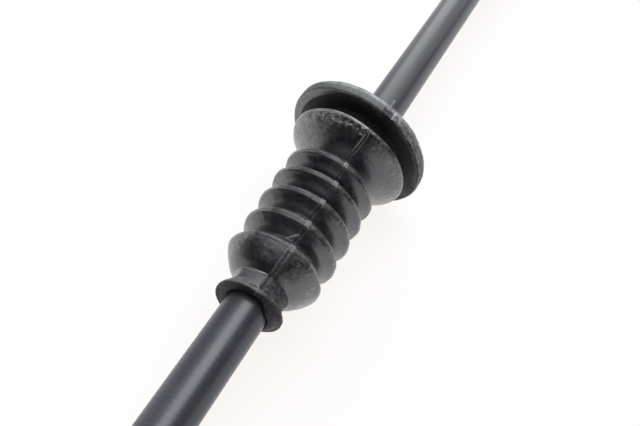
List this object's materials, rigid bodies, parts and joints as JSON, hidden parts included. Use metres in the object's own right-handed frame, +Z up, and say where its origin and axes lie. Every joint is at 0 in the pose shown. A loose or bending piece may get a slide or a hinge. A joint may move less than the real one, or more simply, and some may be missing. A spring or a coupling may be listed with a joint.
{
  "type": "cable shutter release",
  "caption": "Sprung cable release: thumb plunger with finger plate, sheathed push wire, rubber bellows bulkhead grommet on the sheath, and a swivelling tapered threaded tip with push pin.",
  "frame": {"origin": "centre of the grommet's panel groove, on the cable's axis", "axes": "+X along the cable from the thumb button to the camera tip, +Z up with the part lying on its finger plate and flange, +Y to the left seen from the thumb button"},
  "size_m": [0.2106, 0.026, 0.0183],
  "materials": {
    "plated_brass": "worn nickel plate, fine turning marks",
    "steel": "ground steel",
    "spring_steel": "drawn spring wire",
    "brass": "turned brass, slightly dulled",
    "moulded_rubber": "moulded black rubber, satin, dusty wear",
    "sheath_plastic": "satin black plastic, fine wound ribs",
    "liner_plastic": "smooth white plastic"
  },
  "bodies": {
    "cable": {"sheath": "sheath_plastic", "conduit": "spring_steel", "liner": "liner_plastic", "grommet_cuff": "moulded_rubber", "bellows": "moulded_rubber", "barrel": "plated_brass", "barrel_cap": "plated_brass", "finger_plate": "plated_brass", "hand_ferrule": "plated_brass", "hand_strain_relief": "moulded_rubber", "return_spring": "spring_steel", "tip_strain_relief": "moulded_rubber", "tip_ferrule": "plated_brass", "swivel_clip": "spring_steel"},
    "plunger": {"thumb_button": "plated_brass", "plunger_rod": "steel", "rod_stop_collar": "brass", "inner_wire": "steel", "tip_pin": "steel"},
    "lock": {"lock_screw": "plated_brass"},
    "flange": {"grommet_flange": "moulded_rubber"},
    "swivel": {"swivel_nut": "plated_brass", "threaded_nose": "brass"}
  },
  "joints": [
    {"name": "plunger_slide", "type": "slide", "parent": "cable", "child": "plunger", "axis": [1, 0, 0], "range_m": [0, 0.01], "stiffness_N_per_m": 350, "springref_m": -0.004, "deforming": ["return_spring"]},
    {"name": "lock_turn", "type": "hinge", "parent": "cable", "child": "lock", "pos_m": [-0.0905, 0, 0], "axis": [0, 0, -1], "range_deg": [0, 270]},
    {"name": "flange_slide", "type": "slide", "parent": "cable", "child": "flange", "axis": [1, 0, 0], "range_m": [-0.004, 0.003], "stiffness_N_per_m": 400, "deforming": ["bellows"]},
    {"name": "nut_swivel", "type": "hinge", "parent": "cable", "child": "swivel", "pos_m": [0.076, 0, 0], "axis": [1, 0, 0], "continuous": true}
  ]
}
